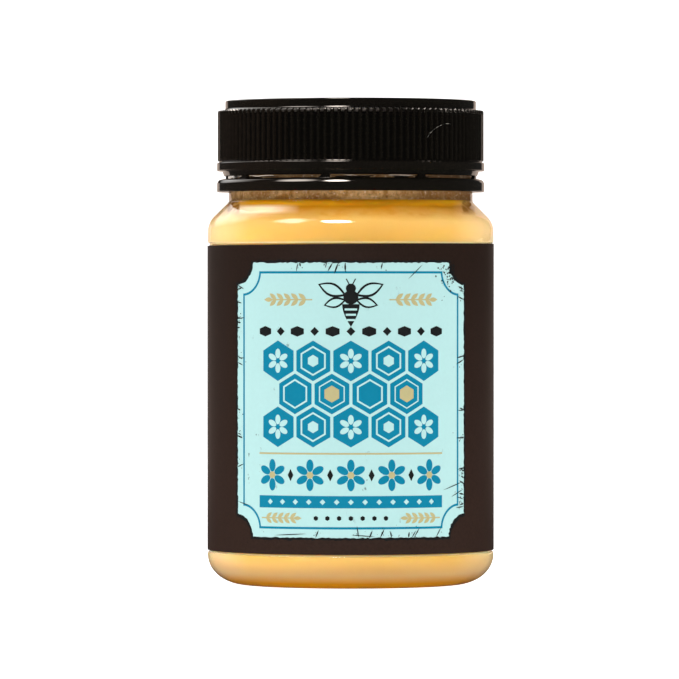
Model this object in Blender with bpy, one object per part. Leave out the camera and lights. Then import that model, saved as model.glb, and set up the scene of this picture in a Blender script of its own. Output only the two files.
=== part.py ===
# Honey jar: a clear wide-mouth jar of set honey with a wrap label and a ribbed, tamper-evident screw cap.
# Units are metres and +Z is up. The origin is the centre of the base, and the front of the label faces -Y.
import math

import bmesh
import bpy
from mathutils import Matrix, Vector

MM = 0.001

# Jar: outside
BODY_RADIUS = 35.9 * MM
PANEL_RECESS = 0.45 * MM
PANEL_BOTTOM = 8.4 * MM
PANEL_TOP = 85.55 * MM
PANEL_STEP = 0.2 * MM
HEEL_WIDTH = 9.2 * MM
HEEL_HEIGHT = 7.5 * MM
STANDING_RING_WIDTH = 2.4 * MM
PUSH_UP_LIP = 1.1 * MM
PUSH_UP_HEIGHT = 2.6 * MM
GATE_RADIUS = 1.4 * MM
GATE_DEPTH = 0.5 * MM
SHOULDER_CONE_POINT = (33.2 * MM, 93.4 * MM)
SHOULDER_ROUNDING = 3.0 * MM
NECK_ROUNDING = 1.0 * MM

# Jar: neck and rim
NECK_RADIUS = 30.66 * MM
FINISH_RADIUS = 30.1 * MM
FINISH_BOTTOM = 98.2 * MM
BEAD_RADIUS = 30.8 * MM
BEAD_BOTTOM = 101.1 * MM
BEAD_TOP = 103.0 * MM
RIM_RADIUS = 29.6 * MM
RIM_STEP = 116.4 * MM
RIM_TOP = 119.4 * MM
RIM_ROUNDING = 0.3 * MM

# Jar: inside
WALL = 0.6 * MM
NECK_BORE_RADIUS = 28.6 * MM
BASE_THICKNESS = 0.9 * MM
SHOULDER_WALL = 0.75 * MM

# Honey
FIT_GAP = 0.3 * MM
HONEY_LEVEL = 96.2 * MM
HONEY_EDGE = 0.6 * MM

# Label
LABEL_RADIUS = 36.0 * MM
LABEL_THICKNESS = 0.25 * MM
LABEL_MARGIN = 0.3 * MM
LABEL_SEAM_WIDTH = 3.0 * MM
LABEL_SEAM_ANGLE = 90.0

# Cap: heights are measured up from the lower edge of the tamper ring
CAP_SEAT = 98.4 * MM
RING_HEIGHT = 3.3 * MM
RING_CHAMFER = (1.4 * MM, 1.1 * MM)
SLIT_HEIGHT = 0.7 * MM
LIP_HEIGHT = 1.25 * MM
FLANGE_HEIGHT = 2.1 * MM
SKIRT_HEIGHT = 13.1 * MM
DISC_HEIGHT = 2.5 * MM
FLANGE_RADIUS = 33.6 * MM
RING_BORE_RADIUS = 31.1 * MM
LIP_RADIUS = 31.8 * MM
LIP_FLARE = 0.45 * MM
SKIRT_RADIUS = 33.0 * MM
SKIRT_BORE_RADIUS = 31.5 * MM
SKIRT_ROUNDING = 0.9 * MM
DISC_RADIUS = 31.5 * MM
DISC_BORE_RADIUS = 30.0 * MM
DISC_ROUNDING = 0.8 * MM
TOP_THICKNESS = 1.6 * MM
RIB_COUNT = 120
RIB_VALLEY = 0.45 * MM
RIB_SLOPE = 0.1 * MM
RIB_HEIGHT = 0.4 * MM
BRIDGE_COUNT = 8
BRIDGE_AZIMUTH = -11.0

# Facets round the jar, the honey and the label
BODY_SEGMENTS = 52

# Surface colours, linear
CLEAR_PLASTIC = (0.92, 0.94, 0.93)
HONEY_GOLD = (0.84, 0.47, 0.12)
LABEL_BROWN = (0.032, 0.021, 0.016)
CAP_BLACK = (0.006, 0.005, 0.004)


def clear_scene():
    for item in list(bpy.data.objects):
        bpy.data.objects.remove(item, do_unlink=True)


def make_material(name, colour, roughness, transmission=0.0):
    material = bpy.data.materials.new(name)
    material.use_nodes = True
    shader = material.node_tree.nodes["Principled BSDF"]
    shader.inputs["Base Color"].default_value = (*colour, 1.0)
    shader.inputs["Roughness"].default_value = roughness
    shader.inputs["Metallic"].default_value = 0.0
    shader.inputs["Transmission Weight"].default_value = transmission
    material.diffuse_color = (*colour, 1.0)
    return material


# Points of an elliptical arc in the (radius, height) plane, angles in degrees from the outward direction
def arc(centre, radii, start, end, steps):
    points = []
    for step in range(steps + 1):
        angle = math.radians(start + (end - start) * step / steps)
        points.append((centre[0] + radii[0] * math.cos(angle), centre[1] + radii[1] * math.sin(angle)))
    return points


# Points of the parabola that rises from (outer_radius, low) to (0, high), without its end on the axis
def dome(outer_radius, low, high, inner_radius, steps):
    points = []
    for step in range(steps + 1):
        radius = inner_radius + (outer_radius - inner_radius) * step / steps
        points.append((radius, high - (high - low) * (radius / outer_radius) ** 2))
    return points


# A profile swept round Z. A profile that starts and ends on the axis makes a solid, and a loop makes a ring.
def sweep_profile(mesh, profile, segments, loop=False, angle=math.tau):
    points = [mesh.verts.new((radius, 0.0, height)) for radius, height in profile]
    edges = [mesh.edges.new(pair) for pair in zip(points, points[1:])]
    if loop:
        edges.append(mesh.edges.new((points[-1], points[0])))
    whole = angle >= math.tau
    bmesh.ops.spin(
        mesh, geom=points + edges, cent=(0, 0, 0), axis=(0, 0, 1), angle=angle, steps=segments, use_merge=whole
    )


def tidy_solid(mesh):
    bmesh.ops.remove_doubles(mesh, verts=mesh.verts, dist=1e-7)
    bmesh.ops.recalc_face_normals(mesh, faces=mesh.faces)


def add_object(name, mesh, material, parent, height=0.0):
    data = bpy.data.meshes.new(name)
    mesh.to_mesh(data)
    mesh.free()
    data.materials.append(material)
    data.shade_smooth()
    data.set_sharp_from_angle(angle=math.radians(30))
    item = bpy.data.objects.new(name, data)
    item.location = (0, 0, height)
    item.parent = parent
    bpy.context.scene.collection.objects.link(item)
    return item


# Where the 45 degree shoulder cone, moved inwards by a wall, meets a vertical wall of the given radius
def cone_height(radius, wall=0.0):
    return SHOULDER_CONE_POINT[1] + SHOULDER_CONE_POINT[0] - wall * math.sqrt(2) - radius


# The radius of the same cone at a height, from the same sum
def cone_radius(height, wall):
    return cone_height(height, wall)


# The round from a vertical wall below into the shoulder cone
def shoulder_round(radius, rounding, wall, steps):
    start = cone_height(radius, wall) - rounding * math.tan(math.radians(22.5))
    return arc((radius - rounding, start), (rounding, rounding), 0, 45, steps)


# The hollow round from the shoulder cone into the neck above
def neck_round(radius, rounding, wall, steps):
    start = cone_height(radius, wall) + rounding * math.tan(math.radians(22.5))
    return arc((radius + rounding, start), (rounding, rounding), 225, 180, steps)


def heel(radius, width, bottom, height, steps):
    return arc((radius - width, bottom + height), (width, height), -90, 0, steps)


STANDING_OUTER = BODY_RADIUS - HEEL_WIDTH
STANDING_INNER = STANDING_OUTER - STANDING_RING_WIDTH
PUSH_UP_RADIUS = STANDING_INNER - PUSH_UP_LIP
PANEL_RADIUS = BODY_RADIUS - PANEL_RECESS
INNER_RADIUS = PANEL_RADIUS - WALL


# Underside, heel, recessed label panel, shoulder and neck, from the axis outwards and up to the rim
def jar_outside():
    gate_top = PUSH_UP_HEIGHT - GATE_DEPTH
    points = [(0.0, gate_top), (GATE_RADIUS, gate_top)]
    points += dome(PUSH_UP_RADIUS, PUSH_UP_LIP, PUSH_UP_HEIGHT, GATE_RADIUS, 2)
    points.append((STANDING_INNER, 0.0))
    points += heel(BODY_RADIUS, HEEL_WIDTH, 0.0, HEEL_HEIGHT, 6)
    points += [
        (BODY_RADIUS, PANEL_BOTTOM - PANEL_STEP),
        (PANEL_RADIUS, PANEL_BOTTOM),
        (PANEL_RADIUS, PANEL_TOP),
        (BODY_RADIUS, PANEL_TOP + PANEL_STEP),
    ]
    points += shoulder_round(BODY_RADIUS, SHOULDER_ROUNDING, 0.0, 3)
    points += neck_round(NECK_RADIUS, NECK_ROUNDING, 0.0, 2)
    finish_slope = NECK_RADIUS - FINISH_RADIUS
    bead_slope = (BEAD_RADIUS - FINISH_RADIUS) / 2
    rim_slope = FINISH_RADIUS - RIM_RADIUS
    points += [
        (NECK_RADIUS, FINISH_BOTTOM),
        (FINISH_RADIUS, FINISH_BOTTOM + finish_slope),
        (FINISH_RADIUS, BEAD_BOTTOM),
        (BEAD_RADIUS, BEAD_BOTTOM + bead_slope),
        (BEAD_RADIUS, BEAD_TOP - bead_slope),
        (FINISH_RADIUS, BEAD_TOP),
        (FINISH_RADIUS, RIM_STEP),
        (RIM_RADIUS, RIM_STEP + rim_slope),
        (RIM_RADIUS, RIM_TOP - RIM_ROUNDING),
        (RIM_RADIUS - RIM_ROUNDING, RIM_TOP),
    ]
    return points


# The bore, the inner shoulder, the wall and the inner base, from the rim down and in to the axis
def jar_inside():
    points = [(NECK_BORE_RADIUS + RIM_ROUNDING, RIM_TOP), (NECK_BORE_RADIUS, RIM_TOP - RIM_ROUNDING)]
    points.append((NECK_BORE_RADIUS, cone_height(NECK_BORE_RADIUS, SHOULDER_WALL)))
    points += reversed(shoulder_round(INNER_RADIUS, SHOULDER_ROUNDING, SHOULDER_WALL, 2))
    points += honey_space_below(INNER_RADIUS, BASE_THICKNESS)
    return points


# The wall's foot, the heel and the raised base, worked out for a surface that lies a margin inside the jar
def honey_space_below(radius, margin):
    width = HEEL_WIDTH
    points = list(reversed(heel(radius, width, margin, HEEL_HEIGHT, 4)))
    edge = radius - width - STANDING_RING_WIDTH
    top = PUSH_UP_HEIGHT + margin
    points += reversed(dome(edge, PUSH_UP_LIP + margin, top, GATE_RADIUS, 2))
    points.append((0.0, top))
    return points


def make_jar(parent):
    mesh = bmesh.new()
    sweep_profile(mesh, jar_outside() + jar_inside(), BODY_SEGMENTS)
    tidy_solid(mesh)
    material = make_material("clear_plastic", CLEAR_PLASTIC, 0.05, transmission=1.0)
    return add_object("jar", mesh, material, parent)


# The honey fills the jar to just under the foot of the neck, and its top edge is softly rounded
def make_honey(parent):
    radius = INNER_RADIUS - FIT_GAP
    wall = SHOULDER_WALL + FIT_GAP
    edge_height = HONEY_LEVEL - HONEY_EDGE / 2
    points = [(0.0, HONEY_LEVEL), (cone_radius(HONEY_LEVEL, wall) - HONEY_EDGE, HONEY_LEVEL)]
    points.append((cone_radius(edge_height, wall), edge_height))
    points += reversed(shoulder_round(radius, SHOULDER_ROUNDING, wall, 2))
    points += honey_space_below(radius, BASE_THICKNESS + FIT_GAP)
    mesh = bmesh.new()
    sweep_profile(mesh, points, BODY_SEGMENTS)
    tidy_solid(mesh)
    return add_object("honey", mesh, make_material("set_honey", HONEY_GOLD, 0.4), parent)


# A thin band round the panel, open at the back where its two ends don't quite meet
def make_label(parent):
    bottom = PANEL_BOTTOM + LABEL_MARGIN
    top = PANEL_TOP - LABEL_MARGIN
    inner = LABEL_RADIUS - LABEL_THICKNESS
    profile = [(inner, bottom), (LABEL_RADIUS, bottom), (LABEL_RADIUS, top), (inner, top)]
    seam = LABEL_SEAM_WIDTH / LABEL_RADIUS
    mesh = bmesh.new()
    sweep_profile(mesh, profile, BODY_SEGMENTS, loop=True, angle=math.tau - seam)
    ends = [edge for edge in mesh.edges if edge.is_boundary]
    bmesh.ops.edgenet_fill(mesh, edges=ends)
    turn = Matrix.Rotation(math.radians(LABEL_SEAM_ANGLE) + seam / 2, 3, "Z")
    bmesh.ops.rotate(mesh, verts=mesh.verts, cent=(0, 0, 0), matrix=turn)
    tidy_solid(mesh)
    return add_object("label", mesh, make_material("label_print", LABEL_BROWN, 0.35), parent)


# Cross-section of the tamper ring, a closed loop
def ring_profile():
    corner = RING_HEIGHT - RING_CHAMFER[1]
    points = [(RING_BORE_RADIUS, 0.0), (FLANGE_RADIUS, 0.0)]
    points += arc((FLANGE_RADIUS - RING_CHAMFER[0], corner), RING_CHAMFER, 0, 90, 2)
    points.append((RING_BORE_RADIUS, RING_HEIGHT))
    return points


# Cross-section of the cap from the axis at the top, down the outside and back up the inside
def cap_profile():
    lip_bottom = RING_HEIGHT + SLIT_HEIGHT
    flange_bottom = lip_bottom + LIP_HEIGHT
    skirt_bottom = flange_bottom + FLANGE_HEIGHT
    ledge = skirt_bottom + SKIRT_HEIGHT
    top = ledge + DISC_HEIGHT
    points = [(0.0, top)]
    disc_corner = (DISC_RADIUS - DISC_ROUNDING, top - DISC_ROUNDING)
    points += arc(disc_corner, (DISC_ROUNDING, DISC_ROUNDING), 90, 0, 2)
    points.append((DISC_RADIUS, ledge))
    skirt_corner = (SKIRT_RADIUS - SKIRT_ROUNDING, ledge - SKIRT_ROUNDING)
    points += arc(skirt_corner, (SKIRT_ROUNDING, SKIRT_ROUNDING), 90, 0, 2)
    step_height = top - TOP_THICKNESS - DISC_HEIGHT
    points += [
        (SKIRT_RADIUS, skirt_bottom),
        (FLANGE_RADIUS, skirt_bottom),
        (FLANGE_RADIUS, flange_bottom),
        (LIP_RADIUS + LIP_FLARE, flange_bottom),
        (LIP_RADIUS, lip_bottom),
        (RING_BORE_RADIUS, lip_bottom),
        (SKIRT_BORE_RADIUS, flange_bottom),
        (SKIRT_BORE_RADIUS, step_height),
        (DISC_BORE_RADIUS, step_height),
        (DISC_BORE_RADIUS, top - TOP_THICKNESS),
        (0.0, top - TOP_THICKNESS),
    ]
    return points


# Each flat of the skirt is inset twice, the second time outwards, which leaves one rib on every flat
def raise_ribs(mesh):
    skirt_bottom = RING_HEIGHT + SLIT_HEIGHT + LIP_HEIGHT + FLANGE_HEIGHT
    skirt_top = skirt_bottom + SKIRT_HEIGHT - SKIRT_ROUNDING
    middle = (skirt_bottom + skirt_top) / 2
    flats = []
    for face in mesh.faces:
        centre = face.calc_center_median()
        if abs(centre.z - middle) < MM and centre.xy.length > (SKIRT_BORE_RADIUS + SKIRT_RADIUS) / 2:
            flats.append(face)
    bmesh.ops.inset_individual(mesh, faces=flats, thickness=RIB_VALLEY, depth=0.0, use_even_offset=True)
    bmesh.ops.inset_individual(mesh, faces=flats, thickness=RIB_SLOPE, depth=RIB_HEIGHT, use_even_offset=True)


# Degrees round Z of a face's centre, from 0 to 360
def face_angle(face):
    centre = face.calc_center_median()
    return math.degrees(math.atan2(centre.y, centre.x)) % 360


# The level face that holds the given angle, on a band at the given height
def band_face(faces, angle):
    return min(faces, key=lambda face: abs((face_angle(face) - angle + 180) % 360 - 180))


# The inner and outer corners of a band's faces, in order round Z from the given angle
def corners_round(faces, start):
    verts = {vert for face in faces for vert in face.verts}

    def turn(vert):
        return (math.degrees(math.atan2(vert.co.y, vert.co.x)) - start + 180) % 360

    inner = sorted((v for v in verts if v.co.xy.length < RING_BORE_RADIUS + 0.1 * MM), key=turn)
    outer = sorted((v for v in verts if v.co.xy.length >= RING_BORE_RADIUS + 0.1 * MM), key=turn)
    return inner, outer


# Small bridges hold the ring to the cap. Each is one facet wide above, two below, and sloped on its left.
def add_bridges(mesh):
    facet = 360 / RIB_COUNT
    lip_bottom = RING_HEIGHT + SLIT_HEIGHT
    level = [face for face in mesh.faces if abs(face.normal.z) > 0.99]
    below = [face for face in level if abs(face.calc_center_median().z - RING_HEIGHT) < 0.05 * MM]
    above = [face for face in level if abs(face.calc_center_median().z - lip_bottom) < 0.05 * MM]
    for index in range(BRIDGE_COUNT):
        angle = (BRIDGE_AZIMUTH - 90 + index * 360 / BRIDGE_COUNT) % 360
        top_face = band_face(above, angle)
        feet = [band_face(below, angle), band_face(below, (angle - facet) % 360)]
        top_inner, top_outer = corners_round([top_face], angle)
        foot_inner, foot_outer = corners_round(feet, angle)
        bmesh.ops.delete(mesh, geom=[top_face] + feet, context="FACES_ONLY")
        below = [face for face in below if face.is_valid]
        above = [face for face in above if face.is_valid]
        sides = [
            [foot_inner[0], foot_outer[0], top_outer[0], top_inner[0]],
            [foot_inner[-1], foot_outer[-1], top_outer[-1], top_inner[-1]],
            foot_outer + top_outer[::-1],
            foot_inner + top_inner[::-1],
        ]
        made = [mesh.faces.new(side) for side in sides]
        bmesh.ops.triangulate(mesh, faces=made)


def make_cap(parent):
    mesh = bmesh.new()
    sweep_profile(mesh, cap_profile(), RIB_COUNT)
    sweep_profile(mesh, ring_profile(), RIB_COUNT, loop=True)
    facet = 360 / RIB_COUNT
    turn = Matrix.Rotation(math.radians((BRIDGE_AZIMUTH - 90 - facet / 2) % facet), 3, "Z")
    bmesh.ops.rotate(mesh, verts=mesh.verts, cent=Vector(), matrix=turn)
    tidy_solid(mesh)
    mesh.normal_update()
    raise_ribs(mesh)
    add_bridges(mesh)
    tidy_solid(mesh)
    return add_object("cap", mesh, make_material("cap_black", CAP_BLACK, 0.25), parent, CAP_SEAT)


def main():
    clear_scene()
    root = bpy.data.objects.new("honey_jar", None)
    bpy.context.scene.collection.objects.link(root)
    make_jar(root)
    make_honey(root)
    make_label(root)
    make_cap(root)


main()
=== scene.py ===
import math
import random

import bpy
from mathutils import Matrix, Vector


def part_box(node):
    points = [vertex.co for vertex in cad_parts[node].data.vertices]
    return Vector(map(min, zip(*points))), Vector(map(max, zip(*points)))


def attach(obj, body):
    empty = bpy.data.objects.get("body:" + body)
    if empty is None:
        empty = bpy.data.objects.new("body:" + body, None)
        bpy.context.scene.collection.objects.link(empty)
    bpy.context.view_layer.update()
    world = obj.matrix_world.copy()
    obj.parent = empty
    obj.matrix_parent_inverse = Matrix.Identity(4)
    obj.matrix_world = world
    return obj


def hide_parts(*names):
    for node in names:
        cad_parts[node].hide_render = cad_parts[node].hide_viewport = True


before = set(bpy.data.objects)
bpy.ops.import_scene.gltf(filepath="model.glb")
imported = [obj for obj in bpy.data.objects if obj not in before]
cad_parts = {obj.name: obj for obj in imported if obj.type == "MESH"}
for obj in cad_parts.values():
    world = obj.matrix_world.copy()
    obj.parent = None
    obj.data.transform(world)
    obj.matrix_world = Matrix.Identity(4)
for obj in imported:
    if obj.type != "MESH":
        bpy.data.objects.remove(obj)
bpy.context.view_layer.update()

mm = 0.001
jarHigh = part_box("jar")[1]
capLow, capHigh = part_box("cap")
labelLow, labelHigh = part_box("label")
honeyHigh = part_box("honey")[1]
bodyRadius = jarHigh.x
labelRadius = labelHigh.x


# everyday helpers

def deselectAll():
    if bpy.context.object and bpy.context.object.mode != "OBJECT":
        bpy.ops.object.mode_set(mode="OBJECT")
    bpy.ops.object.select_all(action="DESELECT")


def makeActive(piece):
    deselectAll()
    piece.select_set(True)
    bpy.context.view_layer.objects.active = piece


def openEdit(piece, selectMode="VERT", selectAll=True):
    makeActive(piece)
    bpy.ops.object.mode_set(mode="EDIT")
    bpy.ops.mesh.select_mode(type=selectMode)
    bpy.ops.mesh.select_all(action="SELECT" if selectAll else "DESELECT")


def closeEdit():
    bpy.ops.object.mode_set(mode="OBJECT")


def openChosen(piece, selectMode, test):    # opens edit mode with only what passes the test selected
    openEdit(piece, selectMode, selectAll=False)
    closeEdit()
    mesh = piece.data
    for element in {"VERT": mesh.vertices, "EDGE": mesh.edges, "FACE": mesh.polygons}[selectMode]:
        element.select = test(element)
    bpy.ops.object.mode_set(mode="EDIT")


def turnOutwards(piece):
    openEdit(piece)
    bpy.ops.mesh.normals_make_consistent(inside=False)
    closeEdit()


def applyMoves():
    bpy.ops.object.transform_apply(location=True, rotation=True, scale=True)


def nameIt(piece, name):
    piece.name = name
    piece.data.name = name
    return piece


def joinAll(pieces, name):
    makeActive(pieces[0])
    for piece in pieces:
        piece.select_set(True)
    bpy.ops.object.join()
    return nameIt(bpy.context.object, name)


def useModifier(piece, kind, **settings):
    makeActive(piece)
    modifier = piece.modifiers.new(kind.lower(), kind)
    for key, value in settings.items():
        setattr(modifier, key, value)
    bpy.ops.object.modifier_apply(modifier=modifier.name)


def arcPoints(centre, radii, startAngle, endAngle, steps):    # degrees, 0 is outwards and 90 is up
    points = []
    for step in range(steps + 1):
        angle = math.radians(startAngle + (endAngle - startAngle) * step / steps)
        points.append((centre[0] + radii[0] * math.cos(angle), centre[1] + radii[1] * math.sin(angle)))
    return points


def cornerPoints(before, corner, after, radius, steps):    # rounds one corner of a profile
    corner = Vector(corner)
    start = corner + (Vector(before) - corner).normalized() * radius
    end = corner + (Vector(after) - corner).normalized() * radius
    points = []
    for step in range(steps + 1):
        t = step / steps
        points.append(tuple(start * (1 - t) ** 2 + corner * 2 * t * (1 - t) + end * t ** 2))
    return points


def roundProfile(points, radii, steps=4):    # radii holds a rounding for each point that isn't sharp
    rounded = []
    for index, point in enumerate(points):
        if index in radii:
            after = points[(index + 1) % len(points)]
            rounded += cornerPoints(points[index - 1], point, after, radii[index], steps)
        else:
            rounded.append(point)
    return rounded


def makeChain(name, places):    # one vertex, extruded from place to place
    deselectAll()
    bpy.ops.mesh.primitive_plane_add(size=mm, location=(0, 0, 0))
    piece = nameIt(bpy.context.object, name)
    openEdit(piece)
    bpy.ops.mesh.merge(type="CENTER")
    bpy.ops.transform.translate(value=places[0])
    for before, after in zip(places, places[1:]):
        move = [end - start for start, end in zip(before, after)]
        bpy.ops.mesh.extrude_vertices_move(TRANSFORM_OT_translate={"value": move})
    closeEdit()
    return piece


# spins a profile of (radius, height), whose ends are joined if it is a loop
def turnProfile(name, points, steps, loop=False, sweep=math.tau, start=0.0):
    piece = makeChain(name, [(radius, 0, height) for radius, height in points])
    if loop:
        openChosen(piece, "VERT", lambda vertex: vertex.index in (0, len(points) - 1))
        bpy.ops.mesh.edge_face_add()
    openEdit(piece)
    bpy.ops.mesh.spin(steps=steps, angle=sweep, center=(0, 0, 0), axis=(0, 0, 1))
    bpy.ops.mesh.select_all(action="SELECT")
    bpy.ops.mesh.remove_doubles(threshold=0.000001)
    turnOutwards(piece)
    piece.rotation_euler.z = start
    applyMoves()
    return piece


def smoothByAngle(piece, degrees):
    makeActive(piece)
    bpy.ops.object.shade_smooth_by_angle(angle=math.radians(degrees))


def dress(piece, material):
    piece.data.materials.clear()
    piece.data.materials.append(material)
    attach(piece, "root")


# material helpers

def newMaterial(name):
    material = bpy.data.materials.new(name)
    material.use_nodes = True
    return material, material.node_tree


def feed(tree, node, values):    # each value is another node's socket, a number, a direction or a colour
    for name, value in values.items():
        socket = node.inputs[name]
        if isinstance(value, bpy.types.NodeSocket):
            tree.links.new(value, socket)
        elif socket.type == "RGBA":
            socket.default_value = (*value, 1)
        else:
            socket.default_value = value


def setShader(tree, values):
    feed(tree, tree.nodes["Principled BSDF"], values)


def addNode(tree, kind, values, **settings):
    node = tree.nodes.new(kind)
    for key, value in settings.items():
        setattr(node, key, value)
    feed(tree, node, values)
    return node


def addPlace(tree):    # sockets for x, y and z in metres, with z as the height above the base
    place = tree.nodes.new("ShaderNodeTexCoord").outputs["Object"]
    return addNode(tree, "ShaderNodeSeparateXYZ", {"Vector": place}).outputs


def addNoise(tree, scale, detail=4.0, roughness=0.5, stretch=(1, 1, 1)):
    place = tree.nodes.new("ShaderNodeTexCoord").outputs["Object"]
    place = addNode(tree, "ShaderNodeMapping", {"Vector": place, "Scale": stretch}).outputs["Vector"]
    values = {"Vector": place, "Scale": scale, "Detail": detail, "Roughness": roughness}
    return addNode(tree, "ShaderNodeTexNoise", values).outputs["Fac"]


def addRange(tree, source, low, high, newLow=0, newHigh=1):
    values = {"Value": source, "From Min": low, "From Max": high, "To Min": newLow, "To Max": newHigh}
    return addNode(tree, "ShaderNodeMapRange", values).outputs["Result"]


def addMix(tree, factor, first, second):
    values = {"Factor": factor, "A": first, "B": second}
    return addNode(tree, "ShaderNodeMix", values, data_type="RGBA").outputs["Result"]


def addMath(tree, operation, *values):
    return addNode(tree, "ShaderNodeMath", dict(enumerate(values)), operation=operation).outputs["Value"]


def addProduct(tree, first, second):
    return addMath(tree, "MULTIPLY", first, second)


def addBand(tree, source, low, high, blend):    # 1 between low and high, with soft ends
    rising = addRange(tree, source, low, low + blend)
    return addProduct(tree, rising, addRange(tree, source, high - blend, high, 1, 0))


def addBump(tree, height, distance):
    values = {"Height": height, "Distance": distance, "Strength": 1.0}
    return addNode(tree, "ShaderNodeBump", values).outputs["Normal"]


# camera, level with the middle of the label and a little to its left

cameraSet = {
    "distance": 1.6335, "height": 0.0751, "aside": -0.0028, "lens": 344.6, "sensor": 36, "tilt": 0.48,
}

deselectAll()
bpy.ops.object.camera_add(
    location=(cameraSet["aside"], -cameraSet["distance"], cameraSet["height"]),
    rotation=(math.radians(90 - cameraSet["tilt"]), 0, 0),
)
photoCamera = bpy.context.object
photoCamera.data.lens = cameraSet["lens"]
photoCamera.data.sensor_width = cameraSet["sensor"]
bpy.context.scene.camera = photoCamera
bpy.context.scene.view_settings.view_transform = "Standard"
print("camera ready")


# studio: a white sweep behind, dark sides, three soft lights, and three panels for the highlights

studioSet = {
    "halfWidth": 1.1, "front": -0.62, "back": 2.5, "split": 0.4, "wall": 1.3, "bend": 0.4,
    "floorDrop": 0.0001, "glow": (-0.05, 0.12, 1.1, 0.98), "paper": (0.86, 0.86, 0.86),
    "mirror": 0.56, "paperMirrored": (0.36, 0.31, 0.27), "mirrorTint": (1.0, 0.80, 0.68),
    "air": 0.035, "sky": 1.0, "lightTarget": 0.55, "panelTarget": 0.7, "panelCore": 0.6,
}
lightSet = {    # azimuth from the camera (+ is right), elevation, distance, size, power
    "leftBox": {"azimuth": -60, "elevation": 38, "distance": 1.25, "size": (1.25, 0.55), "power": 6.7},
    "rightBox": {"azimuth": 76, "elevation": 36, "distance": 1.5, "size": (1.5, 0.9), "power": 11.5},
    "keyBox": {"azimuth": -15, "elevation": 46, "distance": 1.4, "size": (0.4, 0.3), "power": 1.6},
}
panelSet = {    # glowing sheets, brightest in their middle; two of them show only as highlights
    "softPanel": {"azimuth": -143, "elevation": 38, "distance": 1.3, "size": 1.6, "glow": 2.3, "lit": True},
    "leftPanel": {"azimuth": -60, "elevation": 46, "distance": 1.4, "size": 0.85, "glow": 10, "lit": False},
    "sparkPanel": {"azimuth": -15, "elevation": 48, "distance": 1.4, "size": 0.52, "glow": 70, "lit": False},
}


def makeStage():    # the sweep is cut in two behind the jar
    ss = studioSet
    front, back = ss["front"], ss["back"]

    def alongBack(edge):
        ends = [paper.data.vertices[index].co for index in edge.vertices]
        return all(end.y > back - mm and abs(end.z) < 2 * mm for end in ends)

    deselectAll()
    bpy.ops.mesh.primitive_plane_add(size=2, location=(0, (front + back) / 2, -ss["floorDrop"]))
    paper = nameIt(bpy.context.object, "paperSweep")
    paper.scale = (ss["halfWidth"], (back - front) / 2, 1)
    applyMoves()
    openChosen(paper, "EDGE", alongBack)
    bpy.ops.mesh.extrude_region_move(TRANSFORM_OT_translate={"value": (0, 0, ss["wall"])})
    openChosen(paper, "EDGE", alongBack)
    bpy.ops.mesh.bevel(offset=ss["bend"], segments=16)
    smoothByAngle(paper, 60)
    openEdit(paper)
    bpy.ops.mesh.bisect(plane_co=(0, ss["split"], 0), plane_no=(0, 1, 0))
    openChosen(paper, "FACE", lambda face: face.center.y > ss["split"])
    bpy.ops.mesh.separate(type="SELECTED")
    closeEdit()
    wall = nameIt([piece for piece in bpy.context.selected_objects if piece != paper][0], "paperBack")
    paper.visible_glossy = False    # the table in front doesn't mirror in the cap and the jar's foot
    material, tree = newMaterial("whitePaper")
    glow = addRange(tree, addPlace(tree)["Y"], *ss["glow"])    # its own light, where the boxes don't reach
    path = tree.nodes.new("ShaderNodeLightPath").outputs
    through = addRange(tree, path["Is Transmission Ray"], 0, 1, 1, 0)
    mirrored = addProduct(tree, path["Is Glossy Ray"], through)    # not where it is seen through the wall
    setShader(tree, {
        "Roughness": 0.9, "Specular IOR Level": 0.0,
        "Base Color": addMix(tree, mirrored, ss["paper"], ss["paperMirrored"]),
        "Emission Color": addMix(tree, mirrored, (1, 1, 1), ss["mirrorTint"]),
        "Emission Strength": addProduct(tree, glow, addRange(tree, mirrored, 0, 1, 1, ss["mirror"])),
    })
    for sheet in (paper, wall):
        sheet.data.materials.append(material)


def makeWorld():
    world = bpy.data.worlds.new("studioAir")
    bpy.context.scene.world = world
    world.use_nodes = True
    tree = world.node_tree
    seen = tree.nodes.new("ShaderNodeLightPath").outputs["Is Camera Ray"]
    level = addRange(tree, seen, 0, 1, studioSet["air"], studioSet["sky"])
    feed(tree, tree.nodes["Background"], {"Color": (1, 1, 1), "Strength": level})


# how a light is turned and where it is, aimed at this share of the jar's height
def aimLight(setting, share):
    azimuth = math.radians(setting["azimuth"])
    elevation = math.radians(setting["elevation"])
    away = Vector((math.sin(azimuth), -math.cos(azimuth), 0)) * math.cos(elevation)
    away.z = math.sin(elevation)
    target = Vector((0, 0, jarHigh.z * share))
    return away.to_track_quat("Z", "Y").to_euler(), target + away * setting["distance"]


def makeLight(name, setting):
    turn, place = aimLight(setting, studioSet["lightTarget"])
    deselectAll()
    bpy.ops.object.light_add(type="AREA", location=place)
    box = nameIt(bpy.context.object, name)
    box.rotation_euler = turn
    box.visible_glossy = False    # the panels make the highlights
    box.data.shape = "ELLIPSE"
    box.data.size, box.data.size_y = setting["size"]
    box.data.energy = setting["power"]


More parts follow.
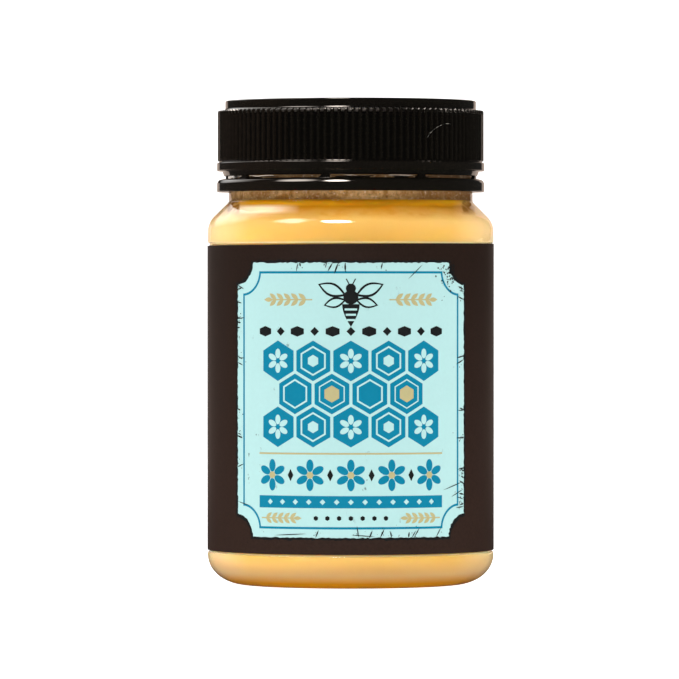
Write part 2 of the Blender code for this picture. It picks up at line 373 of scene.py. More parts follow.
def makePanel(name, setting):
    turn, place = aimLight(setting, studioSet["panelTarget"])
    deselectAll()
    bpy.ops.mesh.primitive_plane_add(size=setting["size"], location=place)
    sheet = nameIt(bpy.context.object, name)
    sheet.rotation_euler = turn
    applyMoves()
    material, tree = newMaterial(name + "Glow")
    place = tree.nodes.new("ShaderNodeTexCoord").outputs["UV"]
    values = {"Vector": place, "Location": (-1, -1, 0), "Scale": (2, 2, 0)}
    place = addNode(tree, "ShaderNodeMapping", values).outputs["Vector"]
    ball = addNode(tree, "ShaderNodeTexGradient", {"Vector": place}, gradient_type="SPHERICAL")
    strength = addRange(tree, ball.outputs["Fac"], 0, studioSet["panelCore"], 0, setting["glow"])
    setShader(tree, {"Base Color": (0, 0, 0), "Emission Color": (1, 1, 1), "Emission Strength": strength})
    sheet.data.materials.append(material)
    sheet.visible_camera = False    # it isn't in the way of a view from behind
    sheet.visible_diffuse = setting["lit"]


makeStage()
makeWorld()
for lightName, lightSetting in lightSet.items():
    makeLight(lightName, lightSetting)
for panelName, panelSetting in panelSet.items():
    makePanel(panelName, panelSetting)
print("studio ready")


# jar: one clear blown piece with a recessed label panel, open at its mouth

jarSet = {
    "steps": 200, "panelRecess": 0.45, "panelLow": 8.4, "panelHigh": 85.55, "panelStep": 0.25,
    "panelRound": 0.12, "heelWidth": 9.2, "heelHeight": 7.5, "standing": 2.4, "pushLip": 1.1,
    "pushHeight": 2.6, "gateRadius": 1.4, "gateDepth": 0.5, "gateSlope": 0.2, "coneSum": 126.6,
    "shoulderRound": 5.2, "neck": 30.66, "neckRound": 1.0, "finish": 30.1, "finishLow": 98.2,
    "slope": 0.5, "finishRound": 0.2,
    "bead": 30.8, "beadLow": 101.1, "beadHigh": 103.0, "rim": 29.6, "rimStep": 116.4,
    "bore": 28.6, "boreRound": 0.8, "wall": 0.6, "shoulderWall": 0.75, "base": 0.9,
}


def inMetres(points):
    return [(radius * mm, height * mm) for radius, height in points]


def coneHeight(radius, wall=0.0):    # where the shoulder's 45 degree cone reaches a radius, in mm
    return jarSet["coneSum"] - wall * math.sqrt(2) - radius


def shoulderPoints(radius, wall, steps):
    rounding = jarSet["shoulderRound"]
    start = coneHeight(radius, wall) - rounding * math.tan(math.radians(22.5))
    return arcPoints((radius - rounding, start), (rounding, rounding), 0, 45, steps)


def basePoints(radius, lift, steps):    # the raised base and the heel, from the axis out to the wall
    js = jarSet
    edge = radius - js["heelWidth"]
    foot = edge - js["standing"]
    dome = foot - js["pushLip"]
    points = []
    for step in range(1, 9):
        r = dome * step / 8
        points.append((r, lift + js["pushHeight"] - (js["pushHeight"] - js["pushLip"]) * (r / dome) ** 2))
    points += arcPoints((foot, lift + js["pushLip"]), (-js["pushLip"], -js["pushLip"]), 0, 90, 5)[1:]
    points += arcPoints((edge, lift + js["heelHeight"]), (js["heelWidth"], js["heelHeight"]), -90, 0, steps)
    return points


def makeJar():
    js = jarSet
    outer = bodyRadius / mm
    panel = outer - js["panelRecess"]
    gate, gateTop = js["gateRadius"], js["pushHeight"] - js["gateDepth"]
    step = js["panelStep"]
    points = [(0.0, gateTop), (gate - js["gateSlope"], gateTop), (gate, gateTop + js["gateSlope"])]
    points += [(gate, js["pushHeight"])] + basePoints(outer, 0.0, 20)
    low, high = js["panelLow"], js["panelHigh"]
    turns = {1: js["panelRound"], 2: js["panelRound"]}
    rims = [(outer, low - step - 1), (outer, low - step), (panel, low), (panel, low + 1)]
    points += roundProfile(rims, turns, 3)[1:]
    rims = [(panel, high - 1), (panel, high), (outer, high + step), (outer, high + step + 1)]
    points += roundProfile(rims, turns, 3)[:-1]
    points += shoulderPoints(outer, 0.0, 10)
    turn = js["neckRound"]
    start = coneHeight(js["neck"]) + turn * math.tan(math.radians(22.5))
    points += arcPoints((js["neck"] + turn, start), (turn, turn), 225, 180, 6)
    slope, bore, top = js["slope"], js["bore"], jarHigh.z / mm
    finish = [
        points[-1], (js["neck"], js["finishLow"]), (js["finish"], js["finishLow"] + slope),
        (js["finish"], js["beadLow"]), (js["bead"], js["beadLow"] + slope),
        (js["bead"], js["beadHigh"] - slope), (js["finish"], js["beadHigh"]),
        (js["finish"], js["rimStep"]), (js["rim"], js["rimStep"] + slope), (js["rim"], top), (bore, top),
        (bore, coneHeight(bore, js["shoulderWall"])), (bore + 2, coneHeight(bore + 2, js["shoulderWall"])),
    ]
    turns = {index: js["finishRound"] for index in range(1, 11)}
    turns[11] = js["boreRound"]
    points += roundProfile(finish, turns, 3)[1:-1]
    inner = panel - js["wall"]
    points += reversed(shoulderPoints(inner, js["shoulderWall"], 8))
    points += reversed(basePoints(inner, js["base"], 16))
    points.append((0.0, js["pushHeight"] + js["base"]))
    jar = turnProfile("jarShell", inMetres(points), js["steps"])
    smoothByAngle(jar, 40)
    material, tree = newMaterial("clearPlastic")
    ripple = addNoise(tree, 60, 2.0, stretch=(1, 1, 1.6))
    setShader(tree, {
        "Base Color": (0.955, 0.90, 0.84), "Roughness": 0.085, "IOR": 1.54, "Transmission Weight": 1.0,
        "Normal": addBump(tree, ripple, 0.0009),
    })
    dress(jar, material)
    jar.visible_shadow = False    # the lamps reach the honey through the clear wall
    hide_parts("jar")


makeJar()
print("jar ready")


# honey: fills the jar into its wall, up to the foot of the neck

honeySet = {    # colours, and where each lies: low, high and blend in metres, or a range and what it becomes
    "steps": 160, "intoWall": 0.08, "depth": 0.45, "recess": 0.4, "dip": (0.35, 0.3),
    "surface": [(-3, -0.1), (-1, 0), (-0.2, 0.05), (0.15, -0.15)],
    "pale": (0.93, 0.635, 0.21), "deep": (0.89, 0.575, 0.15), "cloud": (0.35, 0.65),
    "shade": (0.58, 0.26, 0.0), "shadeUpTo": (0.0016, 0.0036, 1, 0),
    "heel": (0.66, 0.46, 0.215), "heelUpTo": (0.0035, 0.0080, 1, 0),
    "edge": (1.0, 0.88, 0.55), "edgeHighlights": [(0.0080, 0.0086, 0.0002), (0.0854, 0.0860, 0.0002)],
    "middle": (0.60, 0.38, 0.085), "middleShadeAcross": (0.006, 0.030, 0.5, 0), "middleShadeFrom": (0.0834, 0.0854),
    "side": (1.0, 0.78, 0.50), "sideSheenLow": (0.66, 0.50, 0.33), "sideSheenFrom": (0.025, 0.0345, 0, 0.65),
    "shoulder": (0.75, 0.535, 0.18), "shoulderShadeFrom": (0.0868, 0.0905),
    "crownShade": (0.45, 0.205, 0.006), "crownShadeFrom": (0.0916, 0.0951), "crownWave": 0.0016,
    "shadeSmears": (0.48, 0.60, 0, 0.35), "shadeSmearBand": (0.0912, 0.0945, 0.0012),
    "lip": (0.98, 0.52, 0.02), "lipLightFrom": (0.0944, 0.0956), "front": (-0.004, 0.001, 1, 0),
    "corner": (0.30, 0.14, 0.025), "cornerShadeAcross": (0.0272, 0.0309, 0.0006),
    "cornerShadeBand": (0.0922, 0.0968, 0.0012), "cornerShadeBreaks": (0.38, 0.55, 0.35, 1),
    "leftSheen": (1.0, 0.84, 0.60), "leftSheenAcross": (-0.0325, -0.0125, 0.007),
    "leftSheenBand": (0.0924, 0.0950, 0.0009),
}


def makeHoney():
    js, hs = jarSet, honeySet
    inner = bodyRadius / mm - js["panelRecess"] - js["wall"] + hs["intoWall"]
    wall = hs["depth"]    # above and below the label it lies this far under the outer face
    outer = bodyRadius / mm - wall
    level = honeyHigh.z / mm
    topRadius = coneHeight(level, wall)
    points = [(0.0, level - hs["dip"][0]), (topRadius / 2, level - hs["dip"][1])]
    points += [(topRadius + out, level + up) for out, up in hs["surface"]]
    points += reversed(shoulderPoints(outer, wall, 8))
    points += [(outer, js["panelHigh"] + hs["recess"]), (inner, js["panelHigh"] - hs["recess"])]
    points += [(inner, js["panelLow"] + hs["recess"]), (outer, js["panelLow"] - hs["recess"])]
    points += reversed(basePoints(outer, wall, 16))
    points.append((0.0, js["pushHeight"] + wall))
    honey = turnProfile("honeyFill", inMetres(points), hs["steps"])
    smoothByAngle(honey, 60)
    material, tree = newMaterial("setHoney")
    x, y, height = addPlace(tree)
    aside = addMath(tree, "ABSOLUTE", x)
    cloud = addNoise(tree, 45, 5.0, stretch=(1, 1, 1.8))
    tone = addMix(tree, addRange(tree, cloud, *hs["cloud"]), hs["pale"], hs["deep"])
    # painted shade: the shoulder darker, toning down the strong light it takes from above
    tone = addMix(tree, addRange(tree, height, *hs["shoulderShadeFrom"]), tone, hs["shoulder"])
    # painted shade: the middle of the front darker above the label, as the lamps light the sides more
    middle = addRange(tree, aside, *hs["middleShadeAcross"])
    middle = addProduct(tree, middle, addRange(tree, height, *hs["middleShadeFrom"]))
    tone = addMix(tree, middle, tone, hs["middle"])
    # painted shade: darker, deeper amber by the neck, under the cap's ring, with an uneven lower edge
    waves = addNoise(tree, 130, stretch=(1, 1, 2.5))
    uneven = addMath(tree, "MULTIPLY_ADD", waves, hs["crownWave"], height)
    tone = addMix(tree, addRange(tree, uneven, *hs["crownShadeFrom"]), tone, hs["crownShade"])
    # streaks of the same painted shade, a little below the neck
    shadeSmears = addRange(tree, addNoise(tree, 240, 6.0, 0.65, stretch=(1, 1, 2.2)), *hs["shadeSmears"])
    shadeSmears = addProduct(tree, shadeSmears, addBand(tree, height, *hs["shadeSmearBand"]))
    tone = addMix(tree, shadeSmears, tone, hs["crownShade"])
    # painted light: the honey's top edge brighter, against the shadow of the cap's ring
    tone = addMix(tree, addRange(tree, height, *hs["lipLightFrom"]), tone, hs["lip"])
    heel = addRange(tree, height, *hs["heelUpTo"])
    tone = addMix(tree, heel, tone, hs["heel"])
    # painted sheen: paler at both sides, where the clear wall reflects the bright surroundings at a slant
    side = addMix(tree, heel, hs["side"], hs["sideSheenLow"])
    tone = addMix(tree, addRange(tree, aside, *hs["sideSheenFrom"]), tone, side)
    tone = addMix(tree, addRange(tree, height, *hs["shadeUpTo"]), tone, hs["shade"])
    for line in hs["edgeHighlights"]:    # painted highlight: thin and bright lines along both edges of the label, where the panel's step catches the light
        tone = addMix(tree, addBand(tree, height, *line), tone, hs["edge"])
    front = addRange(tree, y, *hs["front"])

    def addSpot(source, across, band):    # a patch on the front half
        patch = addProduct(tree, addBand(tree, source, *across), addBand(tree, height, *band))
        return addProduct(tree, patch, front)

    leftSheen = addSpot(x, hs["leftSheenAcross"], hs["leftSheenBand"])    # painted sheen: a pale streak on the left, standing in for a reflection on the clear wall
    tone = addMix(tree, leftSheen, tone, hs["leftSheen"])
    corners = addSpot(aside, hs["cornerShadeAcross"], hs["cornerShadeBand"])    # painted shade: dark streaks at both ends of the neck's foot, where the thick clear neck darkens the honey behind it
    # noise breaks this painted shade into streaks
    worn = addRange(tree, addNoise(tree, 500, 3.0, stretch=(1.5, 1.5, 0.25)), *hs["cornerShadeBreaks"])
    setShader(tree, {
        "Base Color": addMix(tree, addProduct(tree, corners, worn), tone, hs["corner"]),
        "Roughness": 0.5, "Specular IOR Level": 0.0, "Subsurface Weight": 0.7,
        "Subsurface Radius": (1.0, 0.7, 0.35), "Subsurface Scale": 0.003,
    })
    dress(honey, material)
    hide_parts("honey")


# film: what the honey leaves on the neck above its level, with a ragged upper edge

filmSet = {
    "thick": 0.2, "top": 102.4, "rows": 14, "wave": 1.3, "waves": (2, 3, 5, 9, 14, 23), "seed": 3,
    "foot": 1.5, "dip": 2.6, "dipWide": 55, "glow": 0.2,
    "pale": (0.84, 0.56, 0.245), "deep": (0.46, 0.22, 0.045), "streaks": (0.42, 0.58),
    "dull": (0.25, 0.11, 0.02), "patches": (0.40, 0.55, 0.5, 0), "darkerRight": (0.005, 0.026, 0, 0.7),
    "high": (0.12, 0.085, 0.06), "highFrom": (0.1006, 0.1016, 0, 0.6),
    "tick": (0.12, 0.06, 0.02), "ticks": (0.56, 0.66, 0, 0.8),
    "spark": (1.0, 0.86, 0.66), "sparks": (0.34, 0.42, 0.8, 0),
}


def makeFilm():
    js, fs = jarSet, filmSet
    bore = js["bore"] + honeySet["intoWall"]
    wall = js["shoulderWall"] - honeySet["intoWall"]
    corner = (bore, coneHeight(bore, wall))
    below = (bore + fs["foot"], coneHeight(bore + fs["foot"], wall))
    points = [below] + cornerPoints(below, corner, (bore, corner[1] + fs["foot"]), js["boreRound"], 5)
    start = points[-1][1]
    for row in range(1, fs["rows"] + 1):
        points.append((bore, start + (fs["top"] - start) * row / fs["rows"]))
    film = turnProfile("honeyFilm", inMetres(points), honeySet["steps"])
    waves = random.Random(fs["seed"])
    parts = [(count, waves.uniform(0, math.tau), waves.uniform(0.4, 1)) for count in fs["waves"]]
    whole = sum(size for count, shift, size in parts)
    for vertex in film.data.vertices:
        turn = math.atan2(vertex.co.y, vertex.co.x)
        share = max(0, vertex.co.z / mm - start) / (fs["top"] - start)
        wave = sum(size * math.sin(count * turn + shift) for count, shift, size in parts) / whole
        dip = max(0, 1 - (math.pi - abs(turn)) / math.radians(fs["dipWide"]))    # clearer on the left
        vertex.co.z += (wave * fs["wave"] - dip * fs["dip"]) * share ** 2 * mm
    turnOutwards(film)
    useModifier(film, "SOLIDIFY", thickness=fs["thick"] * mm, offset=-1)
    smoothByAngle(film, 60)
    material, tree = newMaterial("honeySmear")
    place = addPlace(tree)
    streaks = addNoise(tree, 300, 8.0, 0.75, stretch=(1, 1, 1.3))
    tone = addMix(tree, addRange(tree, streaks, *fs["streaks"]), fs["deep"], fs["pale"])
    patches = addNoise(tree, 45, 2.0, stretch=(1, 1, 0.3))
    ticks = addNoise(tree, 1500, 4.0, 0.7, stretch=(1, 1, 1.4))
    layers = [
        (patches, "patches", "dull"),
        (place["X"], "darkerRight", "dull"),    # darker towards the right
        (place["Z"], "highFrom", "high"),    # darker and greyer high up, where the slit shows it
        (ticks, "ticks", "tick"), (ticks, "sparks", "spark"),
    ]
    for source, span, colour in layers:
        tone = addMix(tree, addRange(tree, source, *fs[span]), tone, fs[colour])
    setShader(tree, {
        "Base Color": tone, "Roughness": 0.3, "Normal": addBump(tree, streaks, 0.0003),
        "Emission Color": tone, "Emission Strength": fs["glow"],    # painted light: a faint glow for light that the clear neck leads round
    })
    dress(film, material)


makeHoney()
makeFilm()
print("honey ready")


# label: a wrap of brown film in the recessed panel, open by a narrow seam at the back

labelSet = {
    "steps": 252, "seam": 3.0, "edgeRound": 0.1, "tuck": 0.02, "slant": 0.0072,
    "brown": (0.0225, 0.0125, 0.0092), "brownLow": (0.035, 0.0185, 0.0135), "fade": (0.018, 0.080, 1, 0),
    "grain": (0.005, 0.0035, 0.003), "flecks": (0.4, 0.7, 0, 0.2),
}


def makeLabel():
    ls = labelSet
    seamAngle = ls["seam"] * mm / labelRadius
    inner = bodyRadius / mm - jarSet["panelRecess"] - ls["tuck"]
    outer = labelRadius / mm
    low, high = labelLow.z / mm, labelHigh.z / mm
    corners = [(inner, low), (outer, low), (outer, high), (inner, high)]
    points = inMetres(roundProfile(corners, {1: ls["edgeRound"], 2: ls["edgeRound"]}, 3))
    start = math.radians(90) + seamAngle / 2
    label = turnProfile("labelWrap", points, ls["steps"], loop=True, sweep=math.tau - seamAngle, start=start)
    for side in (-1, 1):    # closes both ends at the seam
        openEdit(label, selectAll=False)
        bpy.ops.mesh.select_non_manifold()
        closeEdit()
        ends = {vertex.index for vertex in label.data.vertices if vertex.select and vertex.co.x * side > 0}
        openChosen(label, "VERT", lambda vertex: vertex.index in ends)
        bpy.ops.mesh.edge_face_add()
    turnOutwards(label)
    for vertex in label.data.vertices:    # the upper edge isn't cut quite straight
        if vertex.co.z > (low + high) / 2 * mm:
            vertex.co.z += vertex.co.x * ls["slant"]
    smoothByAngle(label, 40)
    material, tree = newMaterial("brownFilm")
    grain = addNoise(tree, 1600, 3.0)
    fade = addRange(tree, addPlace(tree)["Z"], *ls["fade"])    # warmer towards the foot
    tone = addMix(tree, fade, ls["brown"], ls["brownLow"])
    setShader(tree, {
        "Base Color": addMix(tree, addRange(tree, grain, *ls["flecks"]), tone, ls["grain"]),
        "Roughness": 0.45, "Specular IOR Level": 0.06, "Normal": addBump(tree, grain, 0.00001),
    })
    dress(label, material)
    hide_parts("label")


makeLabel()
print("label ready")


# print: flat shapes drawn in mm (x along the label, y up the jar), cut into strips and wrapped on the label

printSet = {
    "panelHalf": 32.0, "panelLow": 12.9, "panelHigh": 80.6, "notch": 5.5, "roughness": 0.15, "outline": 0.6,
    "frameInset": 2.1, "frameLine": 0.55, "edgeStep": 0.7, "sheet": 0.02,
    "combHeight": 48.3, "combPitch": 9.4, "combGap": 0.75, "combRows": (5, 4, 5),
    "beeHeight": 70.9, "bandHeight": 63.7, "ruleHeight": 33.6, "ruleSize": (48.6, 0.42),
    "flowerHeight": 28.3, "barHeight": 21.7, "barSize": (48.6, 3.0), "footHeight": 17.7,
    "aqua": (0.455, 0.715, 0.70), "teal": (0.002, 0.21, 0.34), "black": (0.010, 0.011, 0.011),
    "gold": (0.50, 0.44, 0.22), "specks": (0.62, 0.65), "patches": (0.54, 0.64),
    "seed": 7, "cracks": 46, "crackLong": (0.8, 3.2), "crackWide": (0.2, 0.42), "scratchWide": 0.22,
    "flecks": 4, "fleckSize": (0.06, 0.2, 0.4), "cornerFlecks": 110, "cornerFleckSize": (0.08, 0.3, 0.3),
    "scratches": [    # start, length and turn in degrees
        (31.8, 26.5, 7.5, 196), (31.8, 24.6, 5.0, 203), (-31.9, 21.5, 4.2, -12), (-20, 13.4, 9, 3),
        (6, 13.2, 6, 176), (31.8, 44.0, 2.2, 178), (-31.9, 57.0, 2.6, 2), (18.5, 80.2, 5.5, 222),
    ],
}
dice = random.Random(printSet["seed"])


def flatShape(points):    # a filled outline through these points
    deselectAll()
    bpy.ops.mesh.primitive_circle_add(vertices=len(points), radius=1, fill_type="NGON", location=(0, 0, 0))
    shape = bpy.context.object
    for vertex, point in zip(shape.data.vertices, points):
        vertex.co = (point[0], point[1], 0)
    return shape


def placeShape(centre, size, turn):    # scales, turns (degrees) and moves the new shape
    shape = bpy.context.object
    shape.scale = (*size, 1)
    applyMoves()
    shape.rotation_euler.z = math.radians(turn)
    shape.location = (*centre, 0)
    applyMoves()
    return shape


def flatCircle(centre, radii, corners=32, turn=0.0):    # an ellipse or a regular polygon
    deselectAll()
    bpy.ops.mesh.primitive_circle_add(vertices=corners, radius=1, fill_type="NGON", location=(0, 0, 0))
    return placeShape(centre, radii, turn)


def flatBar(centre, size, turn=0.0):
    deselectAll()
    bpy.ops.mesh.primitive_plane_add(size=1, location=(0, 0, 0))
    return placeShape(centre, size, turn)


def hollowOut(shape, line):    # leaves only a line of this width along the outline
    openEdit(shape, "FACE")
    bpy.ops.mesh.inset(thickness=line, depth=0, use_even_offset=True)
    bpy.ops.mesh.delete(type="FACE")
    closeEdit()
    return shape


def petal(centre, length, width, turn):    # a leaf or petal with two pointed ends, growing from its centre
    edge = [(length * step / 8, width / 2 * math.sin(math.pi * step / 8)) for step in range(9)]
    edge += [(x, -y) for x, y in reversed(edge[1:-1])]
    along, up = math.cos(math.radians(turn)), math.sin(math.radians(turn))
    left, foot = centre
    return flatShape([(left + x * along - y * up, foot + x * up + y * along) for x, y in edge])


# a tall panel whose corners are scooped out, its edges a little uneven
def panelOutline(inset, rough):
    ps = printSet
    half, low, high = ps["panelHalf"] - inset, ps["panelLow"] + inset, ps["panelHigh"] - inset
    points = []
    corners = [(half, low, 180, 90), (half, high, 270, 180), (-half, high, 360, 270), (-half, low, 90, 0)]
    for x, y, first, last in corners:
        points += arcPoints((x, y), (ps["notch"],) * 2, first, last, 14)
    closed = points + points[:1]
    outline = []
    for before, after in zip(closed, closed[1:]):
        pieces = max(1, round(math.dist(before, after) / ps["edgeStep"]))
        for piece in range(pieces):
            t = piece / pieces
            x = before[0] + (after[0] - before[0]) * t + dice.uniform(-rough, rough)
            y = before[1] + (after[1] - before[1]) * t + dice.uniform(-rough, rough)
            outline.append((x, y))
    return flatShape(outline)


def wrapOnLabel(shapes, name, layer, material):
    piece = joinAll(shapes, name)
    ls, ps = labelSet, printSet
    radius = labelRadius / mm
    strip = (math.tau - ls["seam"] / radius) / ls["steps"] * radius
    reach = max(abs(corner[0]) for corner in piece.bound_box)
    openEdit(piece)
    for index in range(-int(reach / strip), int(reach / strip) + 1):
        bpy.ops.mesh.select_all(action="SELECT")
        bpy.ops.mesh.bisect(plane_co=(index * strip, 0, 0), plane_no=(1, 0, 0))
    bpy.ops.mesh.select_all(action="SELECT")
    bpy.ops.mesh.remove_doubles(threshold=0.0005)
    closeEdit()
    lift = (radius + ps["sheet"] * (layer - 0.5)) * mm
    for vertex in piece.data.vertices:
        angle = vertex.co.x / radius
        vertex.co = (lift * math.sin(angle), -lift * math.cos(angle), vertex.co.y * mm)
    turnOutwards(piece)
    if sum(face.normal.xy.dot(face.center.xy) for face in piece.data.polygons) < 0:
        openEdit(piece)
        bpy.ops.mesh.flip_normals()
    useModifier(piece, "SOLIDIFY", thickness=ps["sheet"] * mm, offset=1)
    smoothByAngle(piece, 30)
    dress(piece, material)


def inkMaterial(name, colour, roughness, worn=None):
    material, tree = newMaterial(name)
    paler = tuple(min(1, value * 1.06 + 0.004) for value in colour)
    tone = addMix(tree, addNoise(tree, 1100, 3.0), colour, paler)
    if worn:
        specks = addRange(tree, addNoise(tree, 420, 8.0, 0.75, stretch=(1, 1, 0.6)), *printSet["specks"])
        patches = addRange(tree, addNoise(tree, 60, 2.0), *printSet["patches"])
        tone = addMix(tree, addProduct(tree, specks, patches), tone, worn)
    setShader(tree, {"Base Color": tone, "Roughness": roughness, "Specular IOR Level": 0.06})
    return material


def drawFleck(place, small, large, thin):
    size = dice.uniform(small, large)
    return flatCircle(place, (size, size * dice.uniform(thin, 1)), 5, dice.uniform(0, 180))


def drawWear():    # short cracks that run in from the panel's edge, and flecks of bare film beside them
    ps = printSet
    half, low, high, notch = ps["panelHalf"], ps["panelLow"], ps["panelHigh"], ps["notch"]
    shapes = []
    for index in range(ps["cracks"]):
        side = dice.choice((-1, 1))
        if index % 3:
            start = (side * half, dice.uniform(low + notch, high - notch))
            turn = 90 + side * 90 + dice.uniform(-25, 25)
        else:
            start = (dice.uniform(-half + notch, half - notch), dice.choice((low, high)))
            turn = (90 if start[1] == low else -90) + dice.uniform(-35, 35)
        length = dice.uniform(*ps["crackLong"])
        shapes.append(petal(start, length, dice.uniform(*ps["crackWide"]), turn))
        for fleck in range(ps["flecks"]):
            spread = abs(dice.gauss(0, 1.5))
            angle = math.radians(turn + dice.uniform(-60, 60))
            place = (start[0] + spread * math.cos(angle), start[1] + spread * math.sin(angle))
            shapes.append(drawFleck(place, *ps["fleckSize"]))
    for fleck in range(ps["cornerFlecks"]):    # more of them in the rubbed upper right corner
        place = (half - notch - abs(dice.gauss(0, 2.2)) + 2.0, high - abs(dice.gauss(0, 3.0)) - 0.3)
        shapes.append(drawFleck(place, *ps["cornerFleckSize"]))
    for x, y, length, turn in ps["scratches"]:
        shapes.append(petal((x, y), length, ps["scratchWide"], turn))
    return shapes


def combCells():    # the centres of the honeycomb, row by row
    ps = printSet
    cells = []
    rise = ps["combPitch"] * math.sqrt(3) / 2
    for row, count in enumerate(ps["combRows"]):
        y = ps["combHeight"] + (len(ps["combRows"]) - 1) / 2 * rise - row * rise
        for column in range(count):
            cells.append(((column - (count - 1) / 2) * ps["combPitch"], y, row, column))
    return cells


def drawBee(x, y):    # a small bee seen from above
    black = [
        flatCircle((x, y + 3.4), (1.25, 1.15), 24),
        flatCircle((x, y + 1.2), (1.85, 1.75), 28),
        flatShape(beeTail(x, y - 0.5)),
        flatBar((x - 0.75, y + 5.0), (0.28, 1.7), 28),
        flatBar((x + 0.75, y + 5.0), (0.28, 1.7), -28),
    ]
    aqua = []
    for side in (-1, 1):
        black.append(petal((x + side * 1.1, y + 1.6), side * 7.6, 3.4, side * 22))
        aqua.append(petal((x + side * 1.9, y + 1.95), side * 6.1, 2.3, side * 22))
        black.append(petal((x + side * 1.1, y + 0.6), side * 5.8, 2.7, side * -14))
        aqua.append(petal((x + side * 1.8, y + 0.4), side * 4.5, 1.7, side * -14))
    for drop in (1.3, 2.6, 3.9):
        aqua.append(flatBar((x, y - 0.5 - drop), (3.6 - drop * 0.42, 0.5)))
    return black, aqua


def beeTail(x, y):    # the striped end, wide at the top and pointed below
    points = []
    for step in range(13):
        t = step / 12
        points.append((x + 2.15 * math.sin(math.pi * (0.5 + t / 2)) * (1 - 0.12 * t), y - 5.6 * t ** 0.9))
    left = [(2 * x - px, py) for px, py in reversed(points[:-1])]
    return points + left


def drawSprig(x, y, side, size):    # a stem with paired leaves, growing sideways
    shapes = [flatBar((x + side * 5.6 * size, y), (11.2 * size, 0.3))]
    for step in range(5):
        along = x + side * (1.6 + step * 2.0) * size
        for up in (-1, 1):
            shapes.append(petal((along, y), side * 2.5 * size, 1.05 * size, side * up * 38))
    shapes.append(petal((x + side * 10.6 * size, y), side * 2.6 * size, 1.1 * size, 0))
    return shapes


def drawFlower(x, y, size):    # six round-ended petals
    petals = []
    for turn in range(30, 390, 60):
        angle = math.radians(turn)
        place = (x + math.cos(angle) * size * 0.6, y + math.sin(angle) * size * 0.6)
        petals.append(flatCircle(place, (size * 0.4, size * 0.235), 24, turn))
    return petals


def makePrint():
    ps = printSet
    aquaInk = inkMaterial("aquaInk", ps["aqua"], 0.45, ps["black"])
    tealInk = inkMaterial("tealInk", ps["teal"], 0.42)
    blackInk = inkMaterial("blackInk", ps["black"], 0.42)
    goldInk = inkMaterial("goldInk", ps["gold"], 0.38)
    teal, black, gold, aquaOver = [], [], [], []

    def addRow(layer, count, pitch, height, radii, corners):    # a row of like shapes about the middle
        for index in range(count):
            layer.append(flatCircle(((index - (count - 1) / 2) * pitch, height), radii, corners))

    teal.append(hollowOut(panelOutline(ps["frameInset"], 0.0), ps["frameLine"]))
    radius = (ps["combPitch"] - ps["combGap"]) / math.sqrt(3)
    for x, y, row, column in combCells():
        teal.append(flatCircle((x, y), (radius, radius), 6))
        if (row + column) % 2:
            aquaOver.append(hollowOut(flatCircle((x, y), (radius * 0.74,) * 2, 6), 0.42))
            if row != 1:
                aquaOver.append(flatCircle((x, y), (radius * 0.3,) * 2, 6))
        elif row == 1:
            gold.append(flatCircle((x, y), (radius * 0.42,) * 2, 6))
            aquaOver.append(hollowOut(flatCircle((x, y), (radius * 0.74,) * 2, 6), 0.3))
        else:
            aquaOver += drawFlower(x, y, 3.0)

    beeBlack, beeAqua = drawBee(0.0, ps["beeHeight"])
    black += beeBlack
    aquaOver += beeAqua
    for side in (-1, 1):
        gold += drawSprig(side * 9.6, ps["beeHeight"] + 0.6, side, 1.0)
        gold += drawSprig(side * 23.6, ps["footHeight"], -side, 0.85)
    for index in range(5):
        teal += drawFlower((index - 2) * 10.2, ps["flowerHeight"], 3.9)
    addRow(black, 6, 9.0, ps["bandHeight"], (2.0, 1.3), 6)
    addRow(black, 5, 9.0, ps["bandHeight"], (1.1, 1.1), 4)
    addRow(gold, 5, 10.2, ps["flowerHeight"], (0.85, 0.85), 20)
    addRow(black, 4, 10.2, ps["flowerHeight"], (0.75, 1.5), 4)
    addRow(aquaOver, 13, 3.5, ps["barHeight"], (0.7, 0.7), 4)
    addRow(black, 7, 2.9, ps["footHeight"], (0.62, 0.62), 6)
    gold.append(flatBar((0, ps["ruleHeight"]), ps["ruleSize"]))
    teal.append(flatBar((0, ps["barHeight"]), ps["barSize"]))

    wrapOnLabel([panelOutline(-ps["outline"], ps["roughness"] * 1.6)], "printShadow", 1, blackInk)
    wrapOnLabel([panelOutline(0.0, ps["roughness"])], "printPanel", 2, aquaInk)
    wrapOnLabel(teal, "printTeal", 3, tealInk)
    wrapOnLabel(black, "printBlack", 3, blackInk)
    wrapOnLabel(gold, "printGold", 4, goldInk)
    wrapOnLabel(aquaOver, "printAqua", 4, aquaInk)
    wrapOnLabel(drawWear(), "printWear", 5, blackInk)


makePrint()
print("print ready")


# cap: a turned body and tamper ring, 120 ribs pushed out of the skirt, and small sloped bridges in the slit

